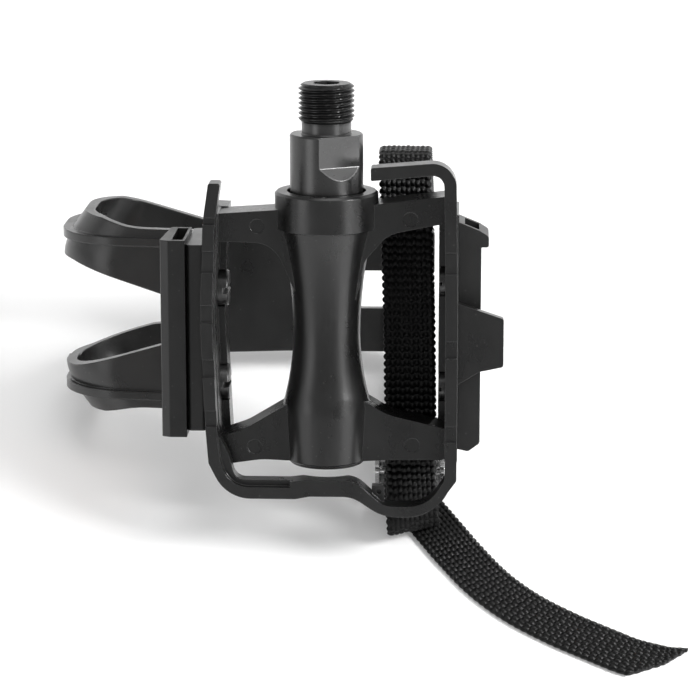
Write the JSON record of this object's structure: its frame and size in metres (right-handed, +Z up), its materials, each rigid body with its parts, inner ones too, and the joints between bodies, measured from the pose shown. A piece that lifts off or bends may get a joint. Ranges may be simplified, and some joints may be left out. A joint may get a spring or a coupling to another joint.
{
  "type": "platform pedal",
  "caption": "Cage pedal with a toe clip: a spindle on ball races carries a moulded cage, a raised toe loop, end reflectors and a webbing strap with a cam buckle",
  "frame": {"origin": "Centre of the bottom of the whole part's box, on the surface that the pedal rests on", "axes": "+X from the toe clip to the heel side, +Y away from the viewer, +Z up; the spindle leans back from +Z in the YZ plane"},
  "size_m": [0.1662, 0.1446, 0.1144],
  "materials": {
    "dark_steel": "blackened steel with a satin sheen",
    "bearing_steel": "ground bearing steel",
    "buckle_steel": "bright plated steel",
    "body_resin": "fine moulded grain, dark grey",
    "clip_resin": "satin moulded resin, dark grey",
    "reflector_lens": "clear amber prisms",
    "screw_steel": "blackened screw steel",
    "webbing": "tight black woven webbing with a bound edge"
  },
  "bodies": {
    "pedal": {"pedal_body": "body_resin", "inner_bearing_cup": "bearing_steel", "outer_bearing_cup": "bearing_steel", "dust_cap": "body_resin", "toe_clip": "clip_resin", "front_reflector_housing": "body_resin", "front_reflector_lens": "reflector_lens", "rear_reflector_housing": "body_resin", "rear_reflector_lens": "reflector_lens", "clip_screw_outer": "screw_steel", "clip_screw_inner": "screw_steel", "clip_nut_outer": "screw_steel", "clip_nut_inner": "screw_steel", "rear_screw_outer": "screw_steel", "rear_screw_inner": "screw_steel", "rear_nut_outer": "screw_steel", "rear_nut_inner": "screw_steel", "toe_strap": "webbing", "buckle_frame": "buckle_steel", "buckle_pin": "buckle_steel"},
    "axle": {"spindle": "dark_steel", "outer_cone": "bearing_steel", "keyed_washer": "screw_steel", "lock_nut": "screw_steel"},
    "inner_ball_ring": {"inner_balls": "bearing_steel"},
    "outer_ball_ring": {"outer_balls": "bearing_steel"},
    "cam": {"buckle_cam": "buckle_steel"}
  },
  "joints": [
    {"name": "spindle_spin", "type": "hinge", "parent": "pedal", "child": "axle", "pos_m": [-0.00947, 0.01325, 0.08024], "axis": [0, 0.4135, 0.9105], "continuous": true},
    {"name": "inner_ball_spin", "type": "hinge", "parent": "pedal", "child": "inner_ball_ring", "pos_m": [-0.00947, 0.01325, 0.08024], "axis": [0, 0.4135, 0.9105], "continuous": true},
    {"name": "outer_ball_spin", "type": "hinge", "parent": "pedal", "child": "outer_ball_ring", "pos_m": [-0.00947, -0.00783, 0.0338], "axis": [0, 0.4135, 0.9105], "continuous": true},
    {"name": "cam_lift", "type": "hinge", "parent": "pedal", "child": "cam", "pos_m": [0.01183, 0.01358, 0.0074], "axis": [-1, 0, 0], "range_deg": [0, 80]}
  ],
  "couplings": [
    {"joint": "inner_ball_spin", "follows": "spindle_spin", "ratio": 0.404},
    {"joint": "outer_ball_spin", "follows": "spindle_spin", "ratio": 0.387}
  ]
}
